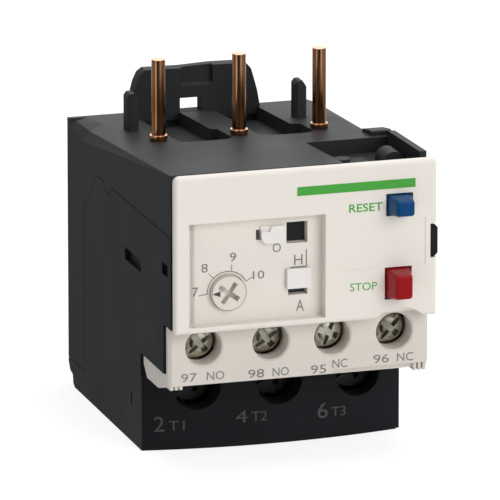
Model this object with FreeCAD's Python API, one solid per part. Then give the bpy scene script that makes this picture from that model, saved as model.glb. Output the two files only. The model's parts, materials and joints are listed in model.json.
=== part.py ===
import FreeCAD, Part
import math
import os

V = FreeCAD.Vector

# Thermal overload relay: a moulded housing that plugs under a contactor by three copper pins.
# Lengths are in millimetres. The drawing frame has X to the right from the left face,
# Y to the back from the front panel, and Z up from the base. The part frame has its origin
# in the middle of the base.

# Overall sizes
WIDTH = 45.0
DEPTH = 62.0
FRONT_HEIGHT = 51.2
REAR_HEIGHT = 46.5
WALL = 1.5
GAP = 0.12

# Front panel and the housing edge behind it
PANEL_THICK = 1.2
PANEL_SHIFT = 0.3
PANEL_LEFT = PANEL_SHIFT
PANEL_RIGHT = WIDTH + PANEL_SHIFT
PANEL_BOTTOM = 24.5
PANEL_TOP = 51.1
PANEL_EDGE = 0.75
PANEL_CORNER = 1.0
HOUSING_FRONT = PANEL_THICK + GAP
TRAY_DEPTH = 3.6

# Setting window in the panel, with its clear cover
WINDOW_LEFT = 2.7
WINDOW_RIGHT = 26.1
WINDOW_BOTTOM = 25.6
WINDOW_TOP = 43.1
WINDOW_DEPTH = 2.0
LABEL_DEPTH = 0.12
LUG_LEFT = WIDTH - 0.75
LUG_RIGHT = WIDTH + 0.5
LUG_FRONT = 0.3
LUG_BOTTOM = 34.4
LUG_TOP = 39.95
COVER_THICK = 0.8
COVER_FRONT = 0.1
COVER_GAP = 0.2
HINGE_PIN_R = 0.33
HINGE_BORE_R = 0.37
HINGE_BARREL_R = 0.75
CONTROL_FRONT = 1.15

# Setting dial and its cam
DIAL_X = 9.95
DIAL_Z = 30.7
DIAL_R = 3.0
DIAL_CLEARANCE = 0.08
DIAL_SHAFT_R = 1.6
CAM_R = 2.6
CAM_OFFSET = 0.8

# Mode selector, test tab and trip flag
SELECTOR_X = 21.95
SELECTOR_Z = 32.25
SELECTOR_W = 4.1
SELECTOR_H = 3.4
SELECTOR_TRAVEL = 1.4
TAB_X = 17.5
TAB_Z = 39.95
TAB_W = 4.0
TAB_H = 2.9
TAB_TRAVEL = 1.5
FLAG_X = 21.8
FLAG_Z = 39.9
FLAG_WINDOW = 3.6
FLAG_TRAVEL = 2.2

# Push buttons
BUTTON_PROUD = 3.5
RESET_X = WIDTH - 6.2
RESET_Z = 43.8
RESET_BASE = (4.4, 3.5)
RESET_TIP = (3.0, 2.6)
STOP_X = WIDTH - 6.4
STOP_Z = 30.5
STOP_BASE = (4.4, 5.2)
STOP_TIP = (2.8, 4.0)
BUTTON_STEM_R = 1.2
RESET_TRAVEL = 2.5
STOP_TRAVEL = 2.0
SPRING_R = 1.7
SPRING_WIRE = 0.25
SPRING_TURNS = 5
SPRING_STEPS = 10

# Deck pockets, pegs and rear hook
PIN_PITCH = (WIDTH - 2 * WALL) / 3
PIN_MIDDLE = WIDTH / 2 - 0.8
PIN_XS = [PIN_MIDDLE + k * PIN_PITCH for k in (-1, 0, 1)]
PIN_Y = DEPTH - 28.2
PIN_R = 1.15
PIN_TOP = REAR_HEIGHT + 16.1
COLLAR_HEIGHT = 0.9
PIN_CLEARANCE = 0.08
POCKET_DEPTH = 2.4
DECK_THICK = 2.0
PEG_Y = PIN_Y + 10.2
PEG_LEFT = PIN_XS[0] - 2.3
PEG_RIGHT = PIN_XS[2] - 0.75
PEG_WIDTH = 2.0
HOOK_TOP = REAR_HEIGHT + 7.9
HOOK_BACK = DEPTH - 0.8
HOOK_THICK = 2.6
HOOK_NOTCH = (PIN_MIDDLE - 2.5, PIN_MIDDLE + 3.0)
SHOULDER_FRONT = PIN_Y - 3.2
TRAY_X = WIDTH - 15.5
TRAY_BACK = PIN_Y - 12.1
TRAY_FLOOR = FRONT_HEIGHT - 4.1
TRAY_WALL_FRONT = 4.9
TRAY_THICK = 0.9

# Seam between the two housings, seen from the left side
SEAM_Z = 40.6
SEAM_GAP = 0.15
REAR_SEAM_Y = DEPTH - 9.7
REAR_SEAM_Z = 4.4

# White terminal strip
STRIP_FRONT = 3.8
STRIP_PLATE = 1.5
STRIP_TOP = 25.0
STRIP_BOTTOM = 14.6
STRIP_LEFT = 0.4
STRIP_RIGHT = WIDTH + 0.1
STRIP_STEP_X = WIDTH - 16.8
STRIP_STEP = 0.8
RIB_HALF = 0.25
WING_TOP = 16.6
WING_BOTTOM = 13.1
STRIP_BACK = 18.4
AUX_X = (6.4, WIDTH / 2 - 4.6, WIDTH / 2 + 6.0, WIDTH - 5.8)
AUX_NAMES = ("97", "98", "95", "96")
AUX_SLOT_ANGLES = (-38, -33, -68, -47)
AUX_Z = 21.2
AUX_HOLE_R = 3.3
AUX_HEAD_R = 2.75
AUX_SHANK_R = 1.5
AUX_HEAD_Y = 6.0
AUX_HEAD_H = 2.4
AUX_PLATE_Y = 14.9
AUX_PLATE_T = 1.0
CLAMP_T = 1.0
THREAD_CLEARANCE = 0.06

# Black terminal base
BASE_TOP = 12.95
BASE_INSET = 0.7
BASE_WIDTH = WIDTH - BASE_INSET
BASE_END_Y = 18.2
BASE_MID_Y = 16.0
BODY_FRONT_LOW = 18.7
POLE_MIDDLE = WIDTH / 2 + 0.7
POLE_XS = [POLE_MIDDLE + k * PIN_PITCH for k in (-1, 0, 1)]
POLE_Z = 10.7
POLE_HOLE_R = 4.0
POLE_HEAD_R = 3.4
POLE_SHANK_R = 1.95
POLE_HEAD_Y = 21.0
POLE_HEAD_H = 2.8
POLE_SLOT_ANGLE = -30
POLE_BAR_Y = 30.2
BAR_T = 1.4
CHAMBER_HALF = 5.2
CHAMBER_FRONT = 20.5
CHAMBER_BACK = 37.0
CHAMBER_TOP = 16.0
CABLE_HALF = 4.2
CABLE_FRONT = 25.6
CABLE_BACK = 30.0

# Heater bays
BAY_HALF = PIN_PITCH / 2 - 0.6
BAY_FLOOR = 18.0
BAY_FRONT = 22.0
BAY_BACK = DEPTH - 11.6
BAY_WALL_TOP = 37.8
BIMETAL_Y = PIN_Y + 6.2
BIMETAL_W = 6.0
BIMETAL_T = 1.0
BIMETAL_TOP = 39.7
COIL_BOTTOM = 25.0
COIL_TOP = 35.0
COIL_TURNS = 6

# Trip bars, lever and contacts
TRIP_TRAVEL = 2.0
BAR_BOTTOM = 38.0
BAR_LEFT = 2.5
PLATE_Y = 12.6
PLATE_T = 1.2
PIVOT_X = PIN_XS[2] + 4.3
PIVOT_Y = 21.3
PIVOT_R = 0.8
PIVOT_BORE_R = 0.86
LEVER_BOTTOM = 41.2
CARRIER_Y = 16.6
CARRIER_BOTTOM = 29.6
CARRIER_H = 2.0
CARRIER_TRAVEL = 0.6
BRIDGE_T = 0.4
BRIDGE_NC_Y = AUX_PLATE_Y + AUX_PLATE_T + 0.02
BRIDGE_NO_Y = AUX_PLATE_Y - CARRIER_TRAVEL - 0.04 - BRIDGE_T

DECK_TILT = (FRONT_HEIGHT - REAR_HEIGHT) / (DEPTH - HOUSING_FRONT)


def deck_z(y):
    """Height of the sloping deck at depth y."""
    return FRONT_HEIGHT - DECK_TILT * (y - HOUSING_FRONT)


def box(x0, y0, z0, x1, y1, z1):
    return Part.makeBox(x1 - x0, y1 - y0, z1 - z0, V(x0, y0, z0))


def rod(r, start, axis, length):
    return Part.makeCylinder(r, length, V(*start), V(*axis))


def prism(points, push):
    """Extrude a closed outline of 3-D points by the vector push."""
    corners = [V(*p) for p in points]
    return Part.Face(Part.makePolygon(corners + corners[:1])).extrude(V(*push))


def prism_x(points, x0, x1):
    return prism([(x0, y, z) for y, z in points], (x1 - x0, 0, 0))


def prism_y(points, y0, y1):
    return prism([(x, y0, z) for x, z in points], (0, y1 - y0, 0))


def prism_z(points, z0, z1):
    return prism([(x, y, z0) for x, y in points], (0, 0, z1 - z0))


def fuse(shapes):
    whole = shapes[0].multiFuse(shapes[1:]) if len(shapes) > 1 else shapes[0]
    return whole.removeSplitter()


def edges_along(shape, axis, keep=lambda c: True):
    """Straight edges parallel to axis whose middle point passes keep."""
    found = []
    for edge in shape.Edges:
        if len(edge.Vertexes) != 2 or edge.Curve.TypeId != "Part::GeomLine":
            continue
        run = edge.Vertexes[1].Point - edge.Vertexes[0].Point
        if run.cross(V(*axis)).Length < 1e-6 * run.Length and keep(edge.CenterOfMass):
            found.append(edge)
    return found


def frustum_y(x, z, y_base, base, y_tip, tip):
    """Tapered block along Y between two centred rectangles."""
    wires = []
    for y, (w, h) in ((y_base, base), (y_tip, tip)):
        half_w, half_h = w / 2, h / 2
        corners = [V(x - half_w, y, z - half_h), V(x + half_w, y, z - half_h),
                   V(x + half_w, y, z + half_h), V(x - half_w, y, z + half_h)]
        wires.append(Part.makePolygon(corners + corners[:1]))
    return Part.makeLoft(wires, True, True)


# Housing outline, shared by both halves
def housing_envelope():
    side = [(HOUSING_FRONT, deck_z(HOUSING_FRONT)), (HOUSING_FRONT, STRIP_TOP + GAP),
            (STRIP_FRONT + STRIP_PLATE + GAP, STRIP_TOP + GAP),
            (STRIP_FRONT + STRIP_PLATE + GAP, WING_TOP + GAP),
            (BODY_FRONT_LOW, WING_TOP + GAP), (BODY_FRONT_LOW, 0),
            (DEPTH - 3.7, 0), (DEPTH - 2.8, 0.6), (DEPTH - 2.5, 2.0), (DEPTH - 0.9, 2.4),
            (DEPTH, 3.8), (DEPTH, REAR_HEIGHT)]
    body = prism_x(side, 0, WIDTH)
    middle = V(BASE_WIDTH / 2, BASE_MID_Y, 0)
    arc = Part.Arc(V(0, BASE_END_Y, 0), middle, V(BASE_WIDTH, BASE_END_Y, 0)).toShape()
    rear = BODY_FRONT_LOW + 1
    back = Part.makePolygon([V(BASE_WIDTH, BASE_END_Y, 0), V(BASE_WIDTH, rear, 0),
                             V(0, rear, 0), V(0, BASE_END_Y, 0)])
    apron = Part.Face(Part.Wire([arc] + back.Edges)).extrude(V(0, 0, BASE_TOP))
    body = fuse([body, apron])
    # the upper edges of the rear are rounded off
    return body.cut(left_shoulder()).cut(right_shoulder())


def shoulder(stations, side):
    """Wedge that takes off an upper edge; stations give depth, width and drop, side is 1 at the right."""
    wires = []
    for y, width, drop in stations:
        top = deck_z(y)
        across = [(-1, -drop), (0, -drop), (width * 0.3, -drop * 0.35), (width, 0), (width, 1), (-1, 1)]
        corners = [V(WIDTH - x if side > 0 else x, y, top + z) for x, z in across]
        wires.append(Part.makePolygon(corners + corners[:1]))
    return Part.makeLoft(wires, True, True)


def left_shoulder():
    return shoulder([(3.0, 0.1, 0.1), (PIN_Y - 3.8, 2.2, 1.6), (DEPTH - 10.0, 3.8, 2.7),
                     (DEPTH - 1.6, 3.2, 0.9)], -1)


def right_shoulder():
    return shoulder([(SHOULDER_FRONT, 4.2, 3.0), (DEPTH - 12.0, 3.3, 2.4), (DEPTH + 1, 2.6, 1.9)], 1)


def seam_region(upper):
    """Space above and behind the seam, or below and in front of it, with a gap between them."""
    g = SEAM_GAP if upper else 0
    notch = PIN_Y + 1.3
    line = [(-5, SEAM_Z + g), (notch, SEAM_Z + g), (notch + 1.2, SEAM_Z - 1.5 + g),
            (notch + 4.4, SEAM_Z - 1.5 + g), (notch + 5.1, SEAM_Z + g), (notch + 9.3, SEAM_Z + g),
            (DEPTH - 10.0 + g, SEAM_Z - 7.3), (REAR_SEAM_Y + g, 14.2),
            (REAR_SEAM_Y + g, REAR_SEAM_Z + g), (DEPTH + 5, REAR_SEAM_Z + g)]
    if upper:
        return prism_x(line + [(DEPTH + 5, PIN_TOP), (-5, PIN_TOP)], -5, WIDTH + 5)
    return prism_x(line + [(DEPTH + 5, -5), (-5, -5)], -5, WIDTH + 5)


def upper_housing(envelope):
    body = envelope.common(seam_region(True))
    step = PIN_Y - 4.8
    low = SEAM_Z - 2.6
    ceiling = [(0, low), (BAY_BACK, low), (BAY_BACK, deck_z(BAY_BACK) - DECK_THICK - POCKET_DEPTH),
               (step, deck_z(step) - DECK_THICK - POCKET_DEPTH), (step, deck_z(step) - DECK_THICK),
               (0, deck_z(0) - DECK_THICK)]
    body = body.cut(prism_x(ceiling, WALL, WIDTH - WALL))
    slab = box(WALL + 0.3, BAY_BACK, REAR_SEAM_Z + 1.8, WIDTH - WALL - 0.3, DEPTH - 1.8,
               REAR_HEIGHT - 4.1)
    body = body.cut(slab)
    behind = PIN_Y + 2.6
    bosses = [box(x - 2.2, PIN_Y - 2.8, COIL_TOP + 7.2, x + 2.2, behind, deck_z(behind) - 0.5)
              for x in PIN_XS]
    tray = box(TRAY_X - WALL, HOUSING_FRONT, TRAY_FLOOR - TRAY_THICK, WIDTH - WALL + 0.1, TRAY_BACK + WALL,
               deck_z(TRAY_BACK + WALL) - 0.5)
    body = fuse([body, tray] + bosses)
    body = body.cut(deck_pockets()).cut(button_tray())
    body = body.cut(box(WIDTH - 1.3, 0, TRAY_FLOOR, WIDTH + 1, TRAY_WALL_FRONT, FRONT_HEIGHT + 9))
    body = fuse([body, hook_tongue(), deck_fittings()])
    for x in PIN_XS:
        body = body.cut(rod(PIN_R + PIN_CLEARANCE, (x, PIN_Y, 40), (0, 0, 1), 20))
    return body


def sloped_pocket(points, depth):
    """Pocket below the sloping deck with the plan outline points."""
    plan = prism_z(points, 20, PIN_TOP)
    front, rear = 10.0, DEPTH + 8
    slope = [(front, deck_z(front) - depth), (rear, deck_z(rear) - depth), (rear, PIN_TOP + 9),
             (front, PIN_TOP + 9)]
    return plan.common(prism_x(slope, -5, WIDTH + 5))


def deck_pockets():
    first, middle, last = PIN_XS
    y = PIN_Y
    left = [(first + 2.9, y - 2.4), (first + 3.9, y - 3.4), (middle - 3.1, y - 3.4), (middle - 1.8, y - 2.2),
            (middle - 1.8, y + 6.4), (middle - 2.9, y + 7.2), (middle - 2.9, DEPTH - 2.8),
            (first + 2.9, DEPTH - 2.8)]
    right = [(middle + 3.1, y - 1.8), (middle + 4.3, y - 3.0), (last - 2.9, y - 3.0), (last - 1.5, y - 1.8),
             (last - 1.5, y + 5.4), (last - 3.1, y + 6.4), (last - 3.1, DEPTH - 2.8),
             (middle + 3.1, DEPTH - 2.8)]
    return sloped_pocket(left, POCKET_DEPTH).fuse(sloped_pocket(right, POCKET_DEPTH))


def button_tray():
    """Open tray in the deck at the front right, with its side wall left standing."""
    return box(TRAY_X, HOUSING_FRONT - 1, TRAY_FLOOR, WIDTH - 1.2, TRAY_BACK, FRONT_HEIGHT + 9)


def deck_fittings():
    """Pegs, tray lugs and the side wall and tab that guide the contactor onto the deck."""
    pegs = [guide_peg(PEG_LEFT, PEG_Y), guide_peg(PEG_RIGHT, PEG_Y + 0.4)]
    top = FRONT_HEIGHT
    back = TRAY_BACK
    wall = prism_x([(TRAY_WALL_FRONT, TRAY_FLOOR - 1), (TRAY_WALL_FRONT, top - 0.05), (back - 0.1, top - 0.6),
                    (back + 0.7, top - 0.9), (back + 0.7, TRAY_FLOOR - 1)], WIDTH - 1.2, WIDTH)
    tab = prism_x([(back + 1.6, top - 3.7), (back + 1.6, top - 1.0), (back + 2.3, top - 0.9),
                   (back + 6.2, top - 1.55), (back + 6.9, top - 3.7)], WIDTH - 3.6, WIDTH)
    lug_small = rod(1.3, (TRAY_X + 1.8, 7.5, TRAY_FLOOR - 0.3), (0, 0, 1), 3.5)
    lug_large = rod(1.9, (WIDTH - 3.7, 10.5, TRAY_FLOOR + 0.9), (0, 1, 0), 4.5)
    ledge = box(WIDTH - 11.8, 8.0, TRAY_FLOOR - 0.5, WIDTH - 7.2, 16.5, TRAY_FLOOR + 0.7)
    foot = box(WIDTH - 5.4, 10.5, TRAY_FLOOR - 0.3, WIDTH - 2.0, 15.0, TRAY_FLOOR + 0.9)
    return fuse(pegs + [wall, tab, lug_small, lug_large, ledge, foot])


def guide_peg(left, y):
    """Upright peg with its top bevelled to both sides."""
    right = left + PEG_WIDTH
    low, top = REAR_HEIGHT - 2.5, REAR_HEIGHT + 7.85
    outline = [(left, low), (left, top - 0.65), (left + 0.45, top - 0.05), (left + 1.2, top),
               (right, top - 1.15), (right, low)]
    peg = prism_y(outline, y, y + 2.6)
    return peg.makeChamfer(0.35, edges_along(peg, (0, 0, 1), lambda c: c.y < y + 0.1))


def hook_tongue():
    """Flat tongue with a window that hooks into the contactor behind the pins."""
    middle, top = PIN_MIDDLE, HOOK_TOP
    low = REAR_HEIGHT - 1
    outline = [(middle - 10.9, low), (middle - 10.9, top - 3.6), (middle - 10.5, top - 2.1),
               (middle - 9.8, top - 0.6), (middle - 8.9, top + 0.1), (HOOK_NOTCH[0], top),
               (HOOK_NOTCH[1], top + 0.25), (middle + 8.9, top + 0.15), (middle + 9.8, top - 0.9),
               (middle + 10.3, top - 2.6), (middle + 10.9, top - 4.8), (middle + 11.6, low)]
    front = HOOK_BACK - HOOK_THICK
    tongue = prism_y(outline, front, HOOK_BACK)
    window = box(HOOK_NOTCH[0] - 0.3, front - 1, REAR_HEIGHT + 0.3, HOOK_NOTCH[0] + 3.5, HOOK_BACK + 1,
                 REAR_HEIGHT + 2.7)
    recess = prism_x([(front - 1, top - 3.6), (front + 0.9, top - 2.7), (front + 0.9, top + 6),
                      (front - 1, top + 6)], *HOOK_NOTCH)
    return tongue.cut(window).cut(recess)


def lower_housing(envelope):
    body = envelope.common(seam_region(False))
    body = body.cut(box(WALL, 0, WING_BOTTOM, WIDTH - WALL, STRIP_BACK + GAP, STRIP_TOP + GAP))
    body = body.cut(box(WALL, 0, 0, WIDTH - WALL, 5.4, 26.5))
    body = body.cut(box(WALL, 0, 26.4, WIDTH - WALL, BAY_FRONT - 1.4, 60))
    for pin_x, pole_x in zip(PIN_XS, POLE_XS):
        body = body.cut(box(pin_x - BAY_HALF, BAY_FRONT, BAY_FLOOR, pin_x + BAY_HALF, BAY_BACK, 60))
        body = body.cut(box(pin_x - BAY_HALF, CHAMBER_BACK + 1.4, 2, pin_x + BAY_HALF, BAY_BACK, 20))
        body = body.cut(box(pole_x - CHAMBER_HALF, CHAMBER_FRONT, WALL, pole_x + CHAMBER_HALF,
                            CHAMBER_BACK, CHAMBER_TOP))
        body = body.cut(rod(POLE_HOLE_R, (pole_x, 10, POLE_Z), (0, 1, 0), 12))
        body = body.cut(box(pole_x - CABLE_HALF, CABLE_FRONT, -1, pole_x + CABLE_HALF, CABLE_BACK, 3))
        body = body.cut(box(pole_x - 2.7, POLE_BAR_Y - 0.1, 15, pole_x + 2.7, POLE_BAR_Y + BAR_T + 0.1, 19))
    # the bars slide over the bay walls
    body = body.cut(box(WALL, PIN_Y - 3.8, BAY_WALL_TOP, WIDTH - WALL, DEPTH - 15.0, 60))
    body = fuse([body, rod(2.3, (PIVOT_X, PIVOT_Y, 26.0), (0, 0, 1), SEAM_Z - 26.0 - 0.1)])
    body = body.cut(rod(PIVOT_R + 0.02, (PIVOT_X, PIVOT_Y, 36), (0, 0, 1), 20))
    for x in AUX_X:
        body = body.cut(box(x + 1.3, AUX_PLATE_Y - 0.2, 24, x + 3.3, AUX_PLATE_Y + AUX_PLATE_T + 0.2, 27))
    body = body.cut(side_slots())
    return fuse([body, side_lug()])


def side_slots():
    """Shallow vents and marks in the left side."""
    slot_long = box(-1, 18.5, 30.5, 0.8, 27.6, 32.6)
    slot_short = box(-1, 3.0, 33.6, 0.8, 6.2, 35.6)
    slot_base = box(-1, 23.8, 6.4, 0.8, 24.4, 8.6)
    return fuse([slot_long, slot_short, slot_base])


def side_lug():
    lug = box(LUG_LEFT, LUG_FRONT, LUG_BOTTOM, LUG_RIGHT, 5.2, LUG_TOP)
    return lug.makeChamfer(0.6, edges_along(lug, (0, 1, 0), lambda c: c.x > WIDTH))


# White front panel with the setting window
def front_cover():
    plate = box(PANEL_LEFT, 0, PANEL_BOTTOM, PANEL_RIGHT, PANEL_THICK, PANEL_TOP)
    plate = plate.makeFillet(PANEL_CORNER, edges_along(plate, (0, 1, 0), lambda c: c.z > 40))
    rim = [e for e in plate.Edges if e.BoundBox.YMax < 0.01]
    plate = plate.makeFillet(PANEL_EDGE, rim)
    inner_top = deck_z(TRAY_DEPTH) - DECK_THICK - 2 * GAP
    tray_gap = TRAY_FLOOR - TRAY_THICK - GAP
    tray = box(WALL + GAP, PANEL_THICK, STRIP_TOP + 0.3, WIDTH - WALL - GAP, TRAY_DEPTH, inner_top)
    tray = tray.cut(box(TRAY_X - WALL, PANEL_THICK, tray_gap, WIDTH, TRAY_DEPTH, 60))
    body = fuse([plate, tray])
    body = body.cut(box(WINDOW_LEFT, -1, WINDOW_BOTTOM, WINDOW_RIGHT, WINDOW_DEPTH, WINDOW_TOP))
    arch = rod(6.0, (STOP_X + 0.3, -1, 20.3), (0, 1, 0), 10)
    body = body.cut(arch.common(box(STOP_X - 8.6, -1, 20, WIDTH + 1, PANEL_THICK, 30)))
    body = body.cut(rod(DIAL_R + DIAL_CLEARANCE, (DIAL_X, 0, DIAL_Z), (0, 1, 0), 10))
    neck_w, neck_h = SELECTOR_W - 1.0, SELECTOR_H - 0.6
    body = body.cut(box(SELECTOR_X - neck_w / 2 - GAP, 0, SELECTOR_Z - neck_h / 2 - SELECTOR_TRAVEL - GAP,
                        SELECTOR_X + neck_w / 2 + GAP, 10, SELECTOR_Z + neck_h / 2 + GAP))
    body = body.cut(box(TAB_X - 1.1 - TAB_TRAVEL - GAP, 0, TAB_Z - 0.75 - GAP,
                        TAB_X + 1.1 + GAP, 10, TAB_Z + 0.75 + GAP))
    half = FLAG_WINDOW / 2
    body = body.cut(box(FLAG_X - half, 0, FLAG_Z - half, FLAG_X + half, 10, FLAG_Z + half))
    for x, z, (w, h) in ((RESET_X, RESET_Z, RESET_BASE), (STOP_X, STOP_Z, STOP_BASE)):
        body = body.cut(box(x - w / 2 - GAP, -1, z - h / 2 - GAP, x + w / 2 + GAP, 10, z + h / 2 + GAP))
    body = body.cut(box(WINDOW_RIGHT + 1.9, -1, 33.3, WIDTH - 1.7, LABEL_DEPTH, 41.2))
    body = body.cut(box(LUG_LEFT - GAP, -1, LUG_BOTTOM - GAP, WIDTH + 5, PANEL_THICK + 1, LUG_TOP + GAP))
    pin_x, pin_y = hinge_centre()
    return body.cut(rod(HINGE_PIN_R + 0.01, (pin_x, pin_y, WINDOW_BOTTOM - 0.7), (0, 0, 1),
                        WINDOW_TOP - WINDOW_BOTTOM + 1.4))


def hinge_centre():
    return WINDOW_LEFT + HINGE_BARREL_R + 0.1, HINGE_BARREL_R


def window_cover():
    x, y = hinge_centre()
    low, high = WINDOW_BOTTOM + COVER_GAP, WINDOW_TOP - COVER_GAP
    plate = box(x, COVER_FRONT, low, WINDOW_RIGHT - COVER_GAP, COVER_FRONT + COVER_THICK, high)
    lip = box(WINDOW_RIGHT - 2.2, COVER_FRONT - 0.35, 33.0, WINDOW_RIGHT - 1.2, COVER_FRONT + 0.1, 36.0)
    barrel = rod(HINGE_BARREL_R, (x, y, low), (0, 0, 1), high - low)
    body = fuse([plate, barrel, lip])
    return body.cut(rod(HINGE_BORE_R, (x, y, 0), (0, 0, 1), 60))


def hinge_pin():
    x, y = hinge_centre()
    return rod(HINGE_PIN_R, (x, y, WINDOW_BOTTOM - 0.6), (0, 0, 1), WINDOW_TOP - WINDOW_BOTTOM + 1.2)


# Setting controls
def setting_dial():
    face = rod(DIAL_R, (DIAL_X, CONTROL_FRONT, DIAL_Z), (0, 1, 0), TRAY_DEPTH + GAP - CONTROL_FRONT)
    flange = rod(DIAL_R + 0.9, (DIAL_X, TRAY_DEPTH + GAP, DIAL_Z), (0, 1, 0), 1.2)
    slot = box(DIAL_X - 2.0, CONTROL_FRONT - 1, DIAL_Z - 0.4, DIAL_X + 2.0, CONTROL_FRONT + 1.3, DIAL_Z + 0.4)
    cross = fuse([slot, slot.rotated(V(DIAL_X, 0, DIAL_Z), V(0, 1, 0), 90)])
    cross.rotate(V(DIAL_X, 0, DIAL_Z), V(0, 1, 0), 35)
    return fuse([face, flange]).cut(cross)


def dial_cam():
    start = TRAY_DEPTH + GAP + 1.2
    shaft = rod(DIAL_SHAFT_R, (DIAL_X, start, DIAL_Z), (0, 1, 0), PLATE_Y + PLATE_T - start)
    cam = rod(CAM_R, (DIAL_X + CAM_OFFSET, start + 2.0, DIAL_Z), (0, 1, 0), 2.0)
    return fuse([shaft, cam])


def mode_selector():
    w, h = SELECTOR_W / 2, SELECTOR_H / 2
    block = box(SELECTOR_X - w, CONTROL_FRONT, SELECTOR_Z - h, SELECTOR_X + w, WINDOW_DEPTH - 0.05,
                SELECTOR_Z + h)
    neck = box(SELECTOR_X - w + 0.5, CONTROL_FRONT, SELECTOR_Z - h + 0.3, SELECTOR_X + w - 0.5,
               TRAY_DEPTH + 0.2, SELECTOR_Z + h - 0.3)
    return fuse([block, neck])


def selector_slide():
    """Carrier behind the selector that shows through its slot."""
    w, h = SELECTOR_W / 2, SELECTOR_H / 2
    return box(SELECTOR_X - w - 0.3, TRAY_DEPTH + 0.2, SELECTOR_Z - h - SELECTOR_TRAVEL - 0.6,
               SELECTOR_X + w + 0.3, TRAY_DEPTH + 1.2, SELECTOR_Z + h + 0.4)


def test_tab():
    w, h = TAB_W / 2, TAB_H / 2
    block = box(TAB_X - w, CONTROL_FRONT, TAB_Z - h, TAB_X + w, WINDOW_DEPTH - 0.05, TAB_Z + h)
    block = block.makeFillet(1.2, edges_along(block, (0, 1, 0), lambda c: c.z < TAB_Z))
    notch = prism_y([(TAB_X - w - 1, TAB_Z + h + 1), (TAB_X + 0.2, TAB_Z + h + 1),
                     (TAB_X - 0.6, TAB_Z + h - 0.9), (TAB_X - w - 1, TAB_Z + h - 0.4)], 0, 1.6)
    neck = box(TAB_X - 1.1, CONTROL_FRONT + 0.4, TAB_Z - 0.75, TAB_X + 1.1, TRAY_DEPTH + 0.2, TAB_Z + 0.75)
    flange = box(TAB_X - 1.8, TRAY_DEPTH + 0.1, TAB_Z - 1.6, TAB_X + 1.8, TRAY_DEPTH + 1.1, TAB_Z + 1.6)
    return fuse([block.cut(notch), neck, flange])


def trip_flag():
    half = FLAG_WINDOW / 2 + 0.3
    return box(FLAG_X - half, TRAY_DEPTH + 0.1, FLAG_Z - half, FLAG_X + half, TRAY_DEPTH + 1.1,
               FLAG_Z + half + FLAG_TRAVEL)


def push_button(x, z, base, tip):
    head = frustum_y(x, z, PANEL_THICK / 2, base, -BUTTON_PROUD, tip)
    head = head.makeChamfer(0.3, [e for e in head.Edges if e.BoundBox.YMax < -BUTTON_PROUD + 0.01])
    w, h = base[0] / 2, base[1] / 2
    body = box(x - w, PANEL_THICK / 2, z - h, x + w, TRAY_DEPTH + 0.3, z + h)
    flange = box(x - w - 0.6, TRAY_DEPTH + 0.1, z - h - 0.5, x + w + 0.6, TRAY_DEPTH + 1.1, z + h + 0.5)
    stem = rod(BUTTON_STEM_R, (x, TRAY_DEPTH + 1, z), (0, 1, 0), PLATE_Y + PLATE_T + 0.1 - TRAY_DEPTH - 1)
    return fuse([head, body, flange, stem])


def return_spring(x, z):
    """Coil of square wire around a button stem."""
    start = TRAY_DEPTH + 1.1 + SPRING_WIRE + 0.05
    length = PLATE_Y - start - SPRING_WIRE - 0.05
    steps = SPRING_TURNS * SPRING_STEPS
    section = [(SPRING_R - SPRING_WIRE, -SPRING_WIRE), (SPRING_R + SPRING_WIRE, -SPRING_WIRE),
               (SPRING_R + SPRING_WIRE, SPRING_WIRE), (SPRING_R - SPRING_WIRE, SPRING_WIRE)]
    wires = []
    for k in range(steps + 1):
        turn = 2 * math.pi * k / SPRING_STEPS
        y = start + length * k / steps
        corners = [V(x + r * math.cos(turn), y + dy, z + r * math.sin(turn)) for r, dy in section]
        wires.append(Part.makePolygon(corners + corners[:1]))
    return Part.makeLoft(wires, True, True)


def mechanism_plate():
    """Inner wall that guides the button stems and the dial shaft."""
    plate = box(WALL + GAP, PLATE_Y, 26.5, WIDTH - WALL - GAP, PLATE_Y + PLATE_T,
                TRAY_FLOOR - TRAY_THICK - GAP)
    for x, z in ((RESET_X, RESET_Z), (STOP_X, STOP_Z)):
        plate = plate.cut(rod(BUTTON_STEM_R + 0.08, (x, 0, z), (0, 1, 0), 30))
    return plate.cut(rod(DIAL_SHAFT_R + 0.06, (DIAL_X, 0, DIAL_Z), (0, 1, 0), 30))


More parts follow.
